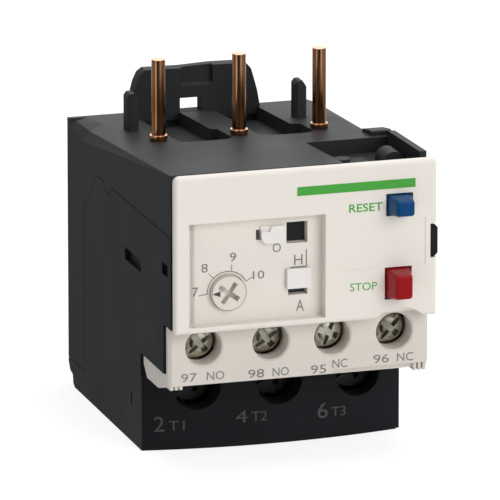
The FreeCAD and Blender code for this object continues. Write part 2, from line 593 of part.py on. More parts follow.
# White control terminal strip
def terminal_strip():
    side = [(STRIP_FRONT, STRIP_TOP), (STRIP_FRONT, STRIP_BOTTOM + 0.2), (9.8, WING_BOTTOM),
            (16.3, WING_BOTTOM), (18.2, 15.0), (18.3, WING_TOP),
            (STRIP_FRONT + STRIP_PLATE, WING_TOP), (STRIP_FRONT + STRIP_PLATE, STRIP_TOP)]
    shell = prism_x(side, STRIP_LEFT, STRIP_RIGHT)
    shell = shell.makeChamfer(0.5, edges_along(shell, (0, 0, 1), lambda c: c.y < STRIP_FRONT + 0.1))
    block = box(WALL + GAP, STRIP_FRONT + 0.2, 15.5, WIDTH - WALL - GAP, STRIP_BACK, STRIP_TOP)
    ribs = [box(x - RIB_HALF, STRIP_FRONT + 0.3, 14.1, x + RIB_HALF, 8.0, 15.5)
            for x in (1.0, 1.8, 2.6, WIDTH - 2.1, WIDTH - 1.3, WIDTH - 0.5)]
    lower = [(0, 10), (0, STRIP_BOTTOM), (STRIP_STEP_X - 0.8, STRIP_BOTTOM),
             (STRIP_STEP_X + 0.8, STRIP_BOTTOM + STRIP_STEP), (WIDTH + 1, STRIP_BOTTOM + STRIP_STEP + 0.1),
             (WIDTH + 1, 10)]
    body = fuse([shell, block]).cut(prism_y(lower, 0, STRIP_FRONT + 1.0))
    body = fuse([body] + ribs)
    for x in AUX_X:
        body = body.cut(rod(AUX_HOLE_R, (x, 0, AUX_Z), (0, 1, 0), 8))
        body = body.cut(box(x - 3.4, STRIP_FRONT + STRIP_PLATE, 16.0, x + 3.4, 16.0, 24.2))
        body = body.cut(rod(AUX_SHANK_R + 0.4, (x, 10, AUX_Z), (0, 1, 0), 10))
        body = body.cut(box(x - 2.4, 9.9, 10, x + 2.4, 14.6, 17))
        body = body.cut(box(x + 1.4, AUX_PLATE_Y - 0.1, 20, x + 3.2, AUX_PLATE_Y + AUX_PLATE_T + 0.1, 30))
    return body


def slotted_head(x, y, z, r, height, shank_r, shank_end, angle):
    """Screw with a combination slot and cross in its head, lying along Y."""
    head = rod(r, (x, y, z), (0, 1, 0), height)
    shank = rod(shank_r, (x, y + height - 0.1, z), (0, 1, 0), shank_end - y - height + 0.1)
    slot = box(x - r - 1, y - 1, z - 0.38, x + r + 1, y + 0.9, z + 0.38)
    cross = box(x - 0.5, y - 1, z - r * 0.65, x + 0.5, y + 1.2, z + r * 0.65)
    cutter = fuse([slot, cross])
    cutter.rotate(V(x, 0, z), V(0, 1, 0), angle)
    return fuse([head, shank]).cut(cutter)


def aux_screw(x, angle):
    return slotted_head(x, AUX_HEAD_Y, AUX_Z, AUX_HEAD_R, AUX_HEAD_H, AUX_SHANK_R,
                        AUX_PLATE_Y + AUX_PLATE_T + 0.1, angle)


def aux_clamp(x):
    y = AUX_HEAD_Y + AUX_HEAD_H + 0.05
    plate = box(x - 2.9, y, 17.6, x + 2.9, y + CLAMP_T, 24.0)
    plate = fuse([plate, box(x - 2.9, y, 17.6, x + 2.9, y + 1.6, 18.4)])
    return plate.cut(rod(AUX_SHANK_R + THREAD_CLEARANCE, (x, 0, AUX_Z), (0, 1, 0), 30))


def aux_terminal(x):
    plate = box(x - 3.2, AUX_PLATE_Y, 16.1, x + 3.2, AUX_PLATE_Y + AUX_PLATE_T, 24.1)
    tab = box(x + 1.6, AUX_PLATE_Y, 24, x + 3.0, AUX_PLATE_Y + AUX_PLATE_T, 32.6)
    return fuse([plate, tab]).cut(rod(AUX_SHANK_R + THREAD_CLEARANCE, (x, 0, AUX_Z), (0, 1, 0), 30))


# Power path of one pole: pin, heater winding, bimetal strip, output bar and screw clamp
def power_pin(x):
    foot = COIL_TOP + 6.0
    pin = rod(PIN_R, (x, PIN_Y, foot), (0, 0, 1), PIN_TOP - foot)
    collar = rod(PIN_R + 0.35, (x, PIN_Y, deck_z(PIN_Y) + 0.12), (0, 0, 1), COLLAR_HEIGHT)
    crimp = box(x - 1.6, PIN_Y - 1.6, COIL_TOP + 1.4, x + 1.6, PIN_Y + 1.5, foot + 1.0)
    strap = box(x - 1.6, PIN_Y - 0.3, COIL_TOP + 0.05, x + 1.6, PIN_Y + 3.0, COIL_TOP + 1.5)
    return fuse([pin, collar, crimp, strap])


def heater_coil(x):
    half_y = BIMETAL_W / 2 + 0.15
    pitch = (COIL_TOP - COIL_BOTTOM) / COIL_TURNS
    core = box(x - 1.7, BIMETAL_Y - half_y - 0.5, COIL_BOTTOM, x + 1.7, BIMETAL_Y + half_y + 0.5, COIL_TOP)
    turns = [core]
    for k in range(COIL_TURNS):
        low = COIL_BOTTOM + k * pitch + 0.2
        turns.append(box(x - 2.2, BIMETAL_Y - half_y - 0.9, low, x + 2.2, BIMETAL_Y + half_y + 0.9,
                         low + pitch - 0.4))
    bore = box(x - BIMETAL_T / 2 - 0.1, BIMETAL_Y - half_y, 0, x + BIMETAL_T / 2 + 0.1,
               BIMETAL_Y + half_y, 60)
    return fuse(turns).cut(bore)


def bimetal(x):
    return box(x - BIMETAL_T / 2, BIMETAL_Y - BIMETAL_W / 2, 20.2, x + BIMETAL_T / 2,
               BIMETAL_Y + BIMETAL_W / 2, BIMETAL_TOP)


def output_bar(pin_x, pole_x):
    back = POLE_BAR_Y + BAR_T
    plate = box(pole_x - 4.4, POLE_BAR_Y, 3.0, pole_x + 4.4, back, 15.8)
    riser = box(pole_x - 2.5, POLE_BAR_Y, 15.0, pole_x + 2.5, back, 20.0)
    foot = box(pin_x - 1.8, POLE_BAR_Y, 18.6, pole_x + 2.5, BIMETAL_Y + 2.4, 20.0)
    tab = box(pin_x + BIMETAL_T / 2 + 0.02, BIMETAL_Y - 2.4, 19, pin_x + BIMETAL_T / 2 + 1.2,
              BIMETAL_Y + 2.4, 24.6)
    body = fuse([plate, riser, foot, tab])
    return body.cut(rod(POLE_SHANK_R + THREAD_CLEARANCE, (pole_x, 0, POLE_Z), (0, 1, 0), 40))


def power_clamp(x):
    y = POLE_HEAD_Y + POLE_HEAD_H + 0.05
    plate = box(x - 4.6, y, 4.2, x + 4.6, y + BAR_T, 15.6)
    return plate.cut(rod(POLE_SHANK_R + THREAD_CLEARANCE, (x, 0, POLE_Z), (0, 1, 0), 40))


def power_screw(x):
    return slotted_head(x, POLE_HEAD_Y, POLE_Z, POLE_HEAD_R, POLE_HEAD_H, POLE_SHANK_R,
                        POLE_BAR_Y + BAR_T + 1.0, POLE_SLOT_ANGLE)


# Trip mechanism
def trip_bar():
    last = PIN_XS[2]
    bar = box(BAR_LEFT, BIMETAL_Y - 4.4, BAR_BOTTOM, last + 2.3, BIMETAL_Y + 4.4, BAR_BOTTOM + 1.0)
    post = box(last + 1.0, BIMETAL_Y - 3.0, BAR_BOTTOM, last + 2.1, BIMETAL_Y, LEVER_BOTTOM + 2.2)
    return fuse([bar, post]).cut(bimetal_slots())


def differential_bar():
    bar = box(BAR_LEFT, BIMETAL_Y - 4.4, BAR_BOTTOM + 1.1, PIN_XS[2] + 0.8, BIMETAL_Y + 4.4, BAR_BOTTOM + 2.1)
    return bar.cut(bimetal_slots())


def bimetal_slots():
    half = BIMETAL_T / 2 + 0.1
    return fuse([box(x - half - TRIP_TRAVEL, BIMETAL_Y - 3.1, 30, x + half, BIMETAL_Y + 3.1, 41)
                 for x in PIN_XS])


def trip_lever():
    hub = rod(2.0, (PIVOT_X, PIVOT_Y, LEVER_BOTTOM), (0, 0, 1), 2.6)
    last = PIN_XS[2]
    back_arm = box(last + 3.2, PIVOT_Y, LEVER_BOTTOM, last + 4.5, PIVOT_Y + 8.7, LEVER_BOTTOM + 1.8)
    front_arm = prism_z([(PIVOT_X, 20.0), (PIVOT_X, 22.4), (last - 1.5, 20.6), (last - 1.5, 15.2),
                         (last - 0.4, 15.2), (last - 0.4, 19.0)], LEVER_BOTTOM, LEVER_BOTTOM + 1.4)
    finger = box(last - 1.5, 15.2, 32.0, last - 0.4, 16.2, LEVER_BOTTOM + 0.5)
    body = fuse([hub, back_arm, front_arm, finger])
    return body.cut(rod(PIVOT_BORE_R, (PIVOT_X, PIVOT_Y, 30), (0, 0, 1), 30))


def compensating_strip():
    last = PIN_XS[2]
    return box(last + 2.4, PIVOT_Y + 5.2, LEVER_BOTTOM, last + 3.18, BIMETAL_Y - 0.6, LEVER_BOTTOM + 1.8)


def lever_pin():
    return rod(PIVOT_R, (PIVOT_X, PIVOT_Y, 36.1), (0, 0, 1), 8.6)


def contact_carrier():
    top = CARRIER_BOTTOM + CARRIER_H
    last = PIN_XS[2]
    bar = box(6.0, CARRIER_Y, CARRIER_BOTTOM, WIDTH - 2.6, CARRIER_Y + 1.6, top)
    post = box(AUX_X[1] - 4.7, BRIDGE_NO_Y + BRIDGE_T + 0.01, CARRIER_BOTTOM, AUX_X[1] - 3.3,
               CARRIER_Y + 1, top)
    tab = box(last - 2.1, CARRIER_Y, CARRIER_BOTTOM, last + 0.2, CARRIER_Y + 1.6, 34.4)
    return fuse([bar, post, tab])


def bridge(x0, x1, y):
    blade = box(x0, y, CARRIER_BOTTOM + 0.2, x1, y + BRIDGE_T, CARRIER_BOTTOM + 1.8)
    return blade


def contact_bridge_no():
    return bridge(AUX_X[0] + 1.4, AUX_X[1] + 3.2, BRIDGE_NO_Y)


def contact_bridge_nc():
    return bridge(AUX_X[2] + 1.4, AUX_X[3] + 3.2, BRIDGE_NC_Y)


def nodes():
    envelope = housing_envelope()
    yield "upper_housing", upper_housing(envelope)
    yield "lower_housing", lower_housing(envelope)
    yield "front_cover", front_cover()
    yield "terminal_strip", terminal_strip()
    yield "window_cover", window_cover()
    yield "hinge_pin", hinge_pin()
    yield "setting_dial", setting_dial()
    yield "dial_cam", dial_cam()
    yield "mode_selector", mode_selector()
    yield "selector_slide", selector_slide()
    yield "test_tab", test_tab()
    yield "trip_flag", trip_flag()
    yield "reset_button", push_button(RESET_X, RESET_Z, RESET_BASE, RESET_TIP)
    yield "stop_button", push_button(STOP_X, STOP_Z, STOP_BASE, STOP_TIP)
    yield "reset_spring", return_spring(RESET_X, RESET_Z)
    yield "stop_spring", return_spring(STOP_X, STOP_Z)
    yield "mechanism_plate", mechanism_plate()
    for name, x, angle in zip(AUX_NAMES, AUX_X, AUX_SLOT_ANGLES):
        yield "aux_screw_" + name, aux_screw(x, angle)
        yield "aux_clamp_" + name, aux_clamp(x)
        yield "aux_terminal_" + name, aux_terminal(x)
    for k, (pin_x, pole_x) in enumerate(zip(PIN_XS, POLE_XS), 1):
        yield "power_pin_%d" % k, power_pin(pin_x)
        yield "heater_coil_%d" % k, heater_coil(pin_x)
        yield "bimetal_%d" % k, bimetal(pin_x)
        yield "output_bar_%d" % k, output_bar(pin_x, pole_x)
        yield "power_clamp_%d" % k, power_clamp(pole_x)
        yield "power_screw_%d" % k, power_screw(pole_x)
    yield "trip_bar", trip_bar()
    yield "differential_bar", differential_bar()
    yield "trip_lever", trip_lever()
    yield "compensating_strip", compensating_strip()
    yield "lever_pin", lever_pin()
    yield "contact_carrier", contact_carrier()
    yield "contact_bridge_no", contact_bridge_no()
    yield "contact_bridge_nc", contact_bridge_nc()


def main():
    os.makedirs("parts", exist_ok=True)
    for name, shape in nodes():
        solid = shape.Solids[0] if len(shape.Solids) == 1 else shape
        if len(shape.Solids) != 1 or not shape.isValid():
            print("check", name, len(shape.Solids), shape.isValid())
        solid = solid.translated(V(-WIDTH / 2, -DEPTH / 2, 0))
        solid.exportStep("parts/" + name + ".step")


main()
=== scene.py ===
import json
import math

import bmesh
import bpy
from mathutils import Matrix, Vector
from mathutils.bvhtree import BVHTree


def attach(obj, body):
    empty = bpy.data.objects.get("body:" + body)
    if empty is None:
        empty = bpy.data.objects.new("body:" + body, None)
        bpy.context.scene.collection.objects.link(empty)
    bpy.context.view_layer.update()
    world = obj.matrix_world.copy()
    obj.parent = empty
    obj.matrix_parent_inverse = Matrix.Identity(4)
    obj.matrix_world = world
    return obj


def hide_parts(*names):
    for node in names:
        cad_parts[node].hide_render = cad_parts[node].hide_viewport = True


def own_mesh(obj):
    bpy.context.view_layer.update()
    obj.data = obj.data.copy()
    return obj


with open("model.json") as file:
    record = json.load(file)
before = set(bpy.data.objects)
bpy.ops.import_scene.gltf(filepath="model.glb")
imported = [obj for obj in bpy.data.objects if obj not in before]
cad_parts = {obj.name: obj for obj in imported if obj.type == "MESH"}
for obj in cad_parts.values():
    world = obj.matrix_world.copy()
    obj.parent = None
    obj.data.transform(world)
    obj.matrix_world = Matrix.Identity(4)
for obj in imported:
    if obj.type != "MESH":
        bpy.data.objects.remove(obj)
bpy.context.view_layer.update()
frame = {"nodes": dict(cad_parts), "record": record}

NODES = frame["nodes"]
MM = 0.001
# the part's measures are taken from its left front bottom corner
CORNER = Vector((-22.5, -31.0, 0.0))

WORLD_LIGHT = 0.37
# strength of what gloss shows, below and above the object
GLOSS_LOW = 1.0
GLOSS_HIGH = 2.1
# what gloss shows around the object: left, front, right, back and left again
ROOM = ((0.0, 0.20), (0.05, 0.25), (0.08, 0.95), (0.10, 0.95), (0.13, 0.12), (0.17, 0.03), (0.24, 0.03),
        (0.27, 0.45), (0.32, 0.70), (0.36, 0.25), (0.50, 0.22), (0.60, 0.50), (0.68, 0.90), (0.74, 0.90),
        (0.79, 0.26), (0.90, 0.28), (1.0, 0.20))
DIAL_CENTRE = (9.95, 30.7)
DIAL_R = 3.0

# buttons, from their front face back to the end of the stem
BUTTON_FRONT = -3.5
BUTTON_MOUTH = 0.6
BUTTON_BACK = 3.75
FLANGE_FRONT = 3.7
FLANGE_BACK = 4.7
# how much wider and higher than the button its flange is
FLANGE_EXTRA = (1.2, 1.0)
STEM_FRONT = 4.65
STEM_BACK = 13.9
STEM_R = 1.2
BUTTON_ROUNDING = 0.6

# control screws and the white walls of their holes
SCREW_Z = 21.2
SCREW_FRONT = 6.0
# depth behind the screw's front and radius there
DOME = ((0.0, 0.5), (0.03, 1.1), (0.12, 1.6), (0.28, 2.0), (0.5, 2.25), (0.8, 2.38), (1.7, 2.38))
WASHER = ((1.65, 2.6), (1.75, 2.75), (2.4, 2.75))
SHANK_R = 1.5
SHANK_FRONT = 8.3
SHANK_BACK = 16.0
# width, length and depth of the slot and of the short bar that makes it a cross
SCREW_SLOT = (0.8, 5.2, 0.95)
SCREW_CROSS = (3.5, 1.05, 1.25)
LINING_R = 3.14
LINING_OUTER_R = 3.27
LINING_FRONT = 3.95
LINING_BACK = 7.6

# printed marks and painted shadow lines: thickness, and how far they stand off the surface
PRINT_DEPTH = 0.00002
PRINT_LIFT = 0.00003
# depth from which the print and the painted shadow lines are laid on, in front of every piece
PRINT_START = -0.1

# where the lamps point
MIDDLE = Vector((0, 0, 0.03))
LENS = 610.6
CAMERA_PLACE = Vector((-0.40459, -1.30626, 0.39620))
CAMERA_TARGET = Vector((-0.00006, -0.00100, 0.02965))
FLOOR_DROP = 0.00003


def at(x, y, z):
    """Point in metres from millimetres measured from the left front bottom corner."""
    return (Vector((x, y, z)) + CORNER) * MM


# Materials
def new_material(name, color, roughness, metallic=0.0):
    """Plain material and its shader node."""
    mat = bpy.data.materials.new(name)
    mat.use_nodes = True
    shader = mat.node_tree.nodes["Principled BSDF"]
    shader.inputs["Base Color"].default_value = (*color, 1.0)
    shader.inputs["Roughness"].default_value = roughness
    shader.inputs["Metallic"].default_value = metallic
    return mat, shader


def noise(mat, scale, detail=3.0, stretch=(1, 1, 1)):
    """Cloudy noise over the object, from 0 to 1."""
    nodes, links = mat.node_tree.nodes, mat.node_tree.links
    where = nodes.new("ShaderNodeTexCoord")
    mapping = nodes.new("ShaderNodeMapping")
    mapping.inputs["Scale"].default_value = stretch
    links.new(where.outputs["Object"], mapping.inputs["Vector"])
    tex = nodes.new("ShaderNodeTexNoise")
    tex.inputs["Scale"].default_value = scale
    tex.inputs["Detail"].default_value = detail
    links.new(mapping.outputs["Vector"], tex.inputs["Vector"])
    return tex.outputs["Fac"]


def ramp(mat, fac, low, high, start=0.3, end=0.7):
    """Colours between low and high that follow fac."""
    nodes, links = mat.node_tree.nodes, mat.node_tree.links
    node = nodes.new("ShaderNodeValToRGB")
    node.color_ramp.elements[0].position = start
    node.color_ramp.elements[1].position = end
    node.color_ramp.elements[0].color = (*low, 1.0)
    node.color_ramp.elements[1].color = (*high, 1.0)
    links.new(fac, node.inputs["Fac"])
    return node.outputs["Color"]


def bump(mat, shader, fac, strength, distance):
    """Uneven surface that follows fac."""
    nodes, links = mat.node_tree.nodes, mat.node_tree.links
    node = nodes.new("ShaderNodeBump")
    node.inputs["Strength"].default_value = strength
    node.inputs["Distance"].default_value = distance
    links.new(fac, node.inputs["Height"])
    links.new(node.outputs["Normal"], shader.inputs["Normal"])


def spread(mat, fac, low, high):
    """Values between low and high that follow fac."""
    nodes, links = mat.node_tree.nodes, mat.node_tree.links
    node = nodes.new("ShaderNodeMapRange")
    node.inputs["From Min"].default_value = 0.3
    node.inputs["From Max"].default_value = 0.7
    node.inputs["To Min"].default_value = low
    node.inputs["To Max"].default_value = high
    links.new(fac, node.inputs["Value"])
    return node.outputs["Result"]


def plastic(name, color, roughness, grain=3500.0, grain_depth=0.00002, shade=0.06, strength=0.25,
            specular=0.5):
    """Moulded plastic: a fine grain, faint cloudy shade and uneven gloss."""
    mat, shader = new_material(name, color, roughness)
    shader.inputs["Specular IOR Level"].default_value = specular
    links = mat.node_tree.links
    cloud = noise(mat, 60.0, 4.0)
    low = tuple(c * (1 - shade) for c in color)
    high = tuple(min(1.0, c * (1 + shade)) for c in color)
    links.new(ramp(mat, cloud, low, high), shader.inputs["Base Color"])
    links.new(spread(mat, cloud, roughness * 0.9, roughness * 1.1), shader.inputs["Roughness"])
    bump(mat, shader, noise(mat, grain, 2.0), strength, grain_depth)
    return mat


def metal(name, color, dark, roughness, stretch=(1, 1, 1)):
    """Metal with stains between two colours and fine marks, which stretch can draw out into lines."""
    mat, shader = new_material(name, color, roughness, 1.0)
    links = mat.node_tree.links
    drawn = noise(mat, 900.0, 4.0, stretch)
    stain = noise(mat, 140.0, 3.0)
    links.new(ramp(mat, stain, dark, color), shader.inputs["Base Color"])
    links.new(spread(mat, drawn, roughness * 0.75, roughness * 1.3), shader.inputs["Roughness"])
    bump(mat, shader, drawn, 0.15, 0.00001)
    return mat


def clear_plastic(name):
    """Clear plastic that lets nearly all light through."""
    mat, shader = new_material(name, (0.55, 0.54, 0.52), 0.05)
    shader.inputs["Alpha"].default_value = 0.014
    shader.inputs["IOR"].default_value = 1.49
    shader.inputs["Specular IOR Level"].default_value = 0.15
    bump(mat, shader, noise(mat, 40.0, 1.0), 0.05, 0.00005)
    return mat


BLACK = plastic("black_plastic", (0.0325, 0.0340, 0.0350), 0.50, shade=0.12, specular=0.05)
BASE_BLACK = plastic("base_plastic", (0.0135, 0.0145, 0.0170), 0.44, shade=0.10, specular=0.10)
WHITE = plastic("white_plastic", (0.80, 0.750, 0.685), 0.42, shade=0.012, strength=0.15, specular=0.35)
STRIP = plastic("strip_plastic", (0.68, 0.632, 0.572), 0.42, shade=0.012, strength=0.15, specular=0.35)
DIAL = plastic("dial_plastic", (0.76, 0.705, 0.635), 0.40, shade=0.02, strength=0.1, specular=0.35)
BLUE = plastic("blue_plastic", (0.001, 0.049, 0.158), 0.28, shade=0.06, strength=0.12, specular=0.17)
RED = plastic("red_plastic", (0.29, 0.003, 0.006), 0.28, shade=0.06, strength=0.12, specular=0.18)
SLIDER = plastic("slider_plastic", (0.83, 0.80, 0.765), 0.34, shade=0.02, strength=0.1, specular=0.35)
FLAG = plastic("flag_plastic", (0.0055, 0.0055, 0.006), 0.40, shade=0.1, strength=0.1, specular=0.05)
NAVY = plastic("navy_plastic", (0.020, 0.025, 0.070), 0.4, shade=0.1, strength=0.1, specular=0.2)
INNER = plastic("inner_plastic", (0.45, 0.40, 0.30), 0.5, shade=0.05)
HEATER = plastic("heater_sleeve", (0.50, 0.46, 0.38), 0.8, grain=1800.0, grain_depth=0.00006, shade=0.15,
                 strength=0.5)
GREEN = plastic("green_ink", (0.058, 0.370, 0.040), 0.45, shade=0.06, strength=0.1)
# print colours; these two also paint the shadow lines along the selector's slot
INK_AND_PAINTED_SHADE = plastic("dark_ink_and_painted_shade", (0.20, 0.19, 0.18), 0.5, shade=0.12, strength=0.1)
DARK_INK_AND_PAINTED_SHADE = plastic("line_ink_and_painted_shade", (0.07, 0.065, 0.06), 0.5, shade=0.12, strength=0.1)
GREY_INK = plastic("grey_ink", (0.062, 0.064, 0.068), 0.5, shade=0.15, strength=0.1)
COPPER = metal("copper", (0.70, 0.37, 0.195), (0.40, 0.18, 0.075), 0.15, (1, 1, 0.15))
STEEL = metal("plated_steel", (0.72, 0.70, 0.60), (0.17, 0.155, 0.105), 0.22)
DARK_STEEL = metal("motor_screw_steel", (0.05, 0.05, 0.048), (0.03, 0.03, 0.028), 0.40)
SPRING = metal("spring_steel", (0.58, 0.58, 0.60), (0.42, 0.42, 0.44), 0.28)
BIMETAL = metal("bimetal", (0.50, 0.48, 0.44), (0.34, 0.32, 0.29), 0.36, (1, 1, 12))
CLEAR = clear_plastic("clear_plastic")

FINISH = {"black": BLACK, "white": WHITE, "clear": CLEAR, "blue": BLUE, "red": RED, "dial_white": DIAL,
          "dark_blue": NAVY, "flag": FLAG, "copper": COPPER, "plated": STEEL, "spring_steel": SPRING,
          "bimetal": BIMETAL, "heater": HEATER, "mechanism": INNER}
SLOT_OF = {s["node"]: s["material_slot"] for s in frame["record"]["subparts"]}


def paint(node, mat):
    """Gives a CAD node one material."""
    mesh = NODES[node].data
    if not mesh.materials:
        mesh.materials.append(mat)
    for k in range(len(mesh.materials)):
        mesh.materials[k] = mat


for node_name in NODES:
    paint(node_name, FINISH[SLOT_OF[node_name]])
paint("terminal_strip", STRIP)
paint("hinge_pin", CLEAR)
paint("lower_housing", BASE_BLACK)
for k in (1, 2, 3):
    paint("power_screw_%d" % k, DARK_STEEL)
for node_name in ("mode_selector", "test_tab"):
    paint(node_name, SLIDER)


# Softened edges on the moulded pieces
def soften(node, width, angle=32.0, segments=2):
    """Joins the facets of a CAD node into whole faces and rounds its edges a little."""
    obj = NODES[node]
    weld = obj.modifiers.new("weld", "WELD")
    weld.merge_threshold = 0.000002
    plane = obj.modifiers.new("whole_faces", "DECIMATE")
    plane.decimate_type = "DISSOLVE"
    plane.angle_limit = math.radians(0.6)
    edge = obj.modifiers.new("edges", "BEVEL")
    edge.width = width * MM
    edge.segments = segments
    edge.limit_method = "ANGLE"
    edge.angle_limit = math.radians(angle)
    edge.use_clamp_overlap = True
    shade = obj.modifiers.new("normals", "WEIGHTED_NORMAL")
    shade.weight = 100
    shade.keep_sharp = True
    obj.data.polygons.foreach_set("use_smooth", [True] * len(obj.data.polygons))


def add_rings(bm, rings):
    """Closed skin over rings of points, each ring with the same count."""
    loops = [[bm.verts.new(at(*p)) for p in ring] for ring in rings]
    count = len(loops[0])
    for near, far in zip(loops, loops[1:]):
        for k in range(count):
            bm.faces.new((near[k], near[(k + 1) % count], far[(k + 1) % count], far[k]))
    bm.faces.new(loops[0][::-1])
    bm.faces.new(loops[-1])


def rectangle(x, z, y, size):
    """Corners of an upright rectangle at depth y."""
    w, h = size[0] / 2, size[1] / 2
    return [(x - w, y, z - h), (x + w, y, z - h), (x + w, y, z + h), (x - w, y, z + h)]


def circle(x, z, y, r, count=40):
    """Points of an upright circle at depth y."""
    return [(x + r * math.cos(2 * math.pi * k / count), y, z + r * math.sin(2 * math.pi * k / count))
            for k in range(count)]


def closed_piece(name, parts, mat, body, node):
    """Piece made of closed skins, standing for a CAD node."""
    bm = bmesh.new()
    for rings in parts:
        add_rings(bm, rings)
    bmesh.ops.recalc_face_normals(bm, faces=bm.faces)
    mesh = bpy.data.meshes.new(name)
    bm.to_mesh(mesh)
    bm.free()
    mesh.materials.append(mat)
    mesh.polygons.foreach_set("use_smooth", [True] * len(mesh.polygons))
    piece = bpy.data.objects.new(name, mesh)
    bpy.context.scene.collection.objects.link(piece)
    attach(piece, body)
    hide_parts(node)
    return piece


def button(name, place, base, tip, mat):
    """Push button: a tapered cap with rounded edges, its body, flange and stem."""
    x, z = place
    cap = [rectangle(x, z, BUTTON_FRONT, tip), rectangle(x, z, BUTTON_MOUTH, base),
           rectangle(x, z, BUTTON_BACK, base)]
    wide = (base[0] + FLANGE_EXTRA[0], base[1] + FLANGE_EXTRA[1])
    flange = [rectangle(x, z, FLANGE_FRONT, wide), rectangle(x, z, FLANGE_BACK, wide)]
    stem = [circle(x, z, STEM_FRONT, STEM_R), circle(x, z, STEM_BACK, STEM_R)]
    piece = closed_piece(name + "_cap", [cap, flange, stem], mat, name, name + "_button")
    edge = piece.modifiers.new("edges", "BEVEL")
    edge.width = BUTTON_ROUNDING * MM
    edge.segments = 4
    edge.limit_method = "ANGLE"
    edge.angle_limit = math.radians(40)
    edge.harden_normals = True


def control_screw(number, x, angle):
    """Domed screw head with a slot and cross, a washer under it and a plain shank."""
    z, y = SCREW_Z, SCREW_FRONT
    dome = [circle(x, z, y + depth, r) for depth, r in DOME]
    washer = [circle(x, z, y + depth, r) for depth, r in WASHER]
    shank = [circle(x, z, SHANK_FRONT, SHANK_R), circle(x, z, SHANK_BACK, SHANK_R)]
    piece = closed_piece("screw_%s_head" % number, [dome, washer, shank], STEEL, "screw_" + number,
                         "aux_screw_" + number)
    turn = Matrix.Rotation(math.radians(angle), 4, "Y")
    centre = at(x, y, z)
    for width, length, depth in (SCREW_SLOT, SCREW_CROSS):
        bm = bmesh.new()
        add_rings(bm, [rectangle(x, z, y - 1, (length, width)), rectangle(x, z, y + depth, (length, width))])
        bmesh.ops.recalc_face_normals(bm, faces=bm.faces)
        bmesh.ops.rotate(bm, cent=centre, matrix=turn, verts=bm.verts)
        mesh = bpy.data.meshes.new("cutter")
        bm.to_mesh(mesh)
        bm.free()
        cutter = bpy.data.objects.new("cutter", mesh)
        bpy.context.scene.collection.objects.link(cutter)
        cut = piece.modifiers.new("slot", "BOOLEAN")
        cut.operation = "DIFFERENCE"
        cut.solver = "EXACT"
        cut.use_self = True
        cut.object = cutter
        bpy.context.view_layer.update()
        whole = bpy.data.meshes.new_from_object(piece.evaluated_get(bpy.context.evaluated_depsgraph_get()))
        piece.modifiers.remove(cut)
        piece.data = whole
        bpy.data.objects.remove(cutter)
    piece.data.set_sharp_from_angle(angle=math.radians(35))


def hole_lining(number, x):
    """White wall of a control screw's hole, seen past the screw head."""
    bm = bmesh.new()
    count = 48
    section = ((LINING_FRONT, LINING_R), (LINING_FRONT, LINING_OUTER_R), (LINING_BACK, LINING_OUTER_R),
               (LINING_BACK, LINING_R))
    loops = [[bm.verts.new(at(*p)) for p in circle(x, SCREW_Z, y, r, count)] for y, r in section]
    for k, near in enumerate(loops):
        far = loops[(k + 1) % len(loops)]
        for j in range(count):
            bm.faces.new((near[j], near[(j + 1) % count], far[(j + 1) % count], far[j]))
    bmesh.ops.recalc_face_normals(bm, faces=bm.faces)
    mesh = bpy.data.meshes.new("hole_lining_" + number)
    bm.to_mesh(mesh)
    bm.free()
    mesh.materials.append(WHITE)
    mesh.polygons.foreach_set("use_smooth", [True] * len(mesh.polygons))
    mesh.set_sharp_from_angle(angle=math.radians(35))
    piece = bpy.data.objects.new("hole_lining_" + number, mesh)
    bpy.context.scene.collection.objects.link(piece)
    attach(piece, "case")


def coil_spring(node, body):
    """Spring between its button and the inner guide plate, copied from its CAD node and carried by the
    button.
    """
    coil = bpy.data.objects.new(node + "_coil", NODES[node].data.copy())
    bpy.context.scene.collection.objects.link(coil)
    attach(coil, body)
    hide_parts(node)
    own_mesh(coil)


# Printed marks and painted shadow lines
def surface_of(node):
    """Search tree over a node's faces."""
    mesh = NODES[node].data
    return BVHTree.FromPolygons([v.co for v in mesh.vertices], [p.vertices for p in mesh.polygons])


def laid_on(tree, place):
    """Depth at which a line from the front meets the surface, or the point's own depth if it misses."""
    hit = tree.ray_cast(Vector((place.x, PRINT_START, place.z)), Vector((0, 1, 0)))
    return hit[0].y if hit[0] else place.y


def lay_mesh(name, mesh, node, mat, body):
    """Puts a flat outline, drawn in X and Z with its depth in Y, onto the front of a node."""
    tree = surface_of(node)
    for v in mesh.vertices:
        depth = v.co.y
        v.co.y = laid_on(tree, v.co) + depth - PRINT_LIFT
    piece = bpy.data.objects.new(name, mesh)
    bpy.context.scene.collection.objects.link(piece)
    mesh.materials.clear()
    mesh.materials.append(mat)
    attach(piece, body)


def word(name, text, area, node, mat, body="case", weight=0.0):
    """Text fitted into an area given as x0, z0, x1, z1 in millimetres."""
    curve = bpy.data.curves.new(name, "FONT")
    curve.body = text
    curve.size = 1.0
    curve.resolution_u = 3
    curve.offset = weight
    curve.extrude = 0.012
    holder = bpy.data.objects.new(name + "_text", curve)
    bpy.context.scene.collection.objects.link(holder)
    bpy.context.view_layer.update()
    mesh = bpy.data.meshes.new_from_object(holder.evaluated_get(bpy.context.evaluated_depsgraph_get()))
    bpy.data.objects.remove(holder)
    xs = [v.co.x for v in mesh.vertices]
    ys = [v.co.y for v in mesh.vertices]
    low, high = at(area[0], 0, area[1]), at(area[2], 0, area[3])
    for v in mesh.vertices:
        x = low.x + (v.co.x - min(xs)) / (max(xs) - min(xs)) * (high.x - low.x)
        z = low.z + (v.co.y - min(ys)) / (max(ys) - min(ys)) * (high.z - low.z)
        v.co = (x, PRINT_DEPTH if v.co.z < 0 else 0.0, z)
    lay_mesh(name, mesh, node, mat, body)


